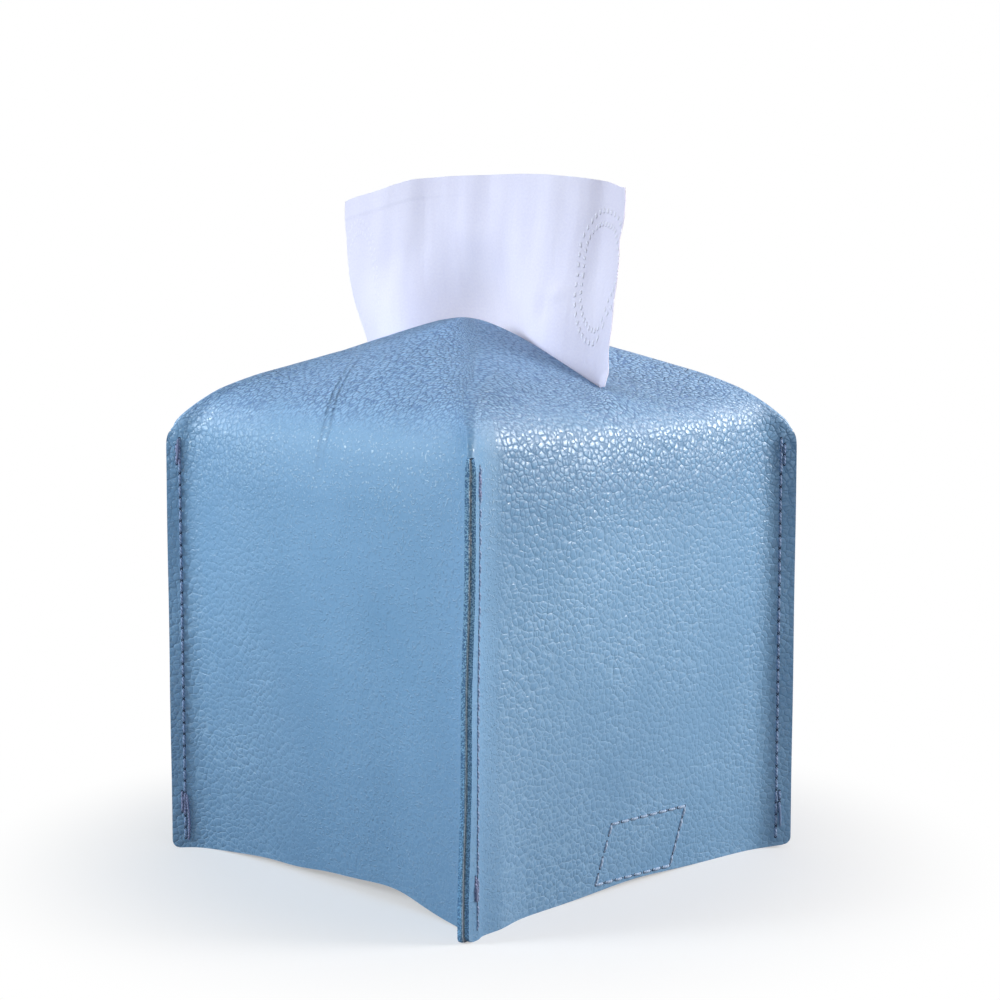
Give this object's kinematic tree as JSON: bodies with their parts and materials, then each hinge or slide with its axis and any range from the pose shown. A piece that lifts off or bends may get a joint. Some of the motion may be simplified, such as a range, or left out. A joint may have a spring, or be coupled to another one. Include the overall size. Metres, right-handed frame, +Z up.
{
  "type": "tissue box cover",
  "caption": "Soft sewn leather cover for a cube tissue carton, with outward corner seams, a slit in its raised roof, a raised tissue and a hook-and-loop belt underneath.",
  "frame": {"origin": "middle of the footprint, on the surface that the cover stands on", "axes": "+Z up, -Y towards the front face, +X towards the side face with the belt's stitched root; the slit runs along X"},
  "size_m": [0.1342, 0.1342, 0.2025],
  "materials": {
    "hide": "pebbled grain, dyed light blue, soft sheen",
    "lining": "matte split-leather lining",
    "belt": "smooth dyed leather, cut edges",
    "thread": "twisted polyester thread",
    "locking_thread": "twisted polyester thread",
    "hook_and_loop": "woven nylon with hooks or loops",
    "tissue": "soft two-ply tissue"
  },
  "bodies": {
    "cover": {"leather_cover": "hide", "lining": "lining", "front_left_seam_thread": "thread", "front_right_seam_thread": "thread", "back_right_seam_thread": "thread", "back_left_seam_thread": "thread", "locking_stitches": "locking_thread", "strap_root": "belt", "strap_root_stitches": "thread", "tab_root": "belt", "tab_root_stitches": "thread"},
    "strap": {"strap": "belt", "hook_pad": "hook_and_loop", "hook_pad_stitches": "thread"},
    "tab": {"tab": "belt", "loop_pad": "hook_and_loop", "loop_pad_stitches": "thread"},
    "tissue": {"tissue_sheet": "tissue"}
  },
  "joints": [
    {"name": "strap_fold", "type": "hinge", "parent": "cover", "child": "strap", "pos_m": [0.0559, 0.007, 0.0006], "axis": [0, -1, 0], "range_deg": [0, 90]},
    {"name": "tab_fold", "type": "hinge", "parent": "cover", "child": "tab", "pos_m": [-0.0559, 0.007, 0.0039], "axis": [0, 1, 0], "range_deg": [0, 90]},
    {"name": "tissue_pull", "type": "slide", "parent": "cover", "child": "tissue", "axis": [0, 0, 1], "range_m": [0, 0.1]}
  ],
  "couplings": [
    {"joint": "tab_fold", "follows": "strap_fold", "ratio": 1}
  ]
}
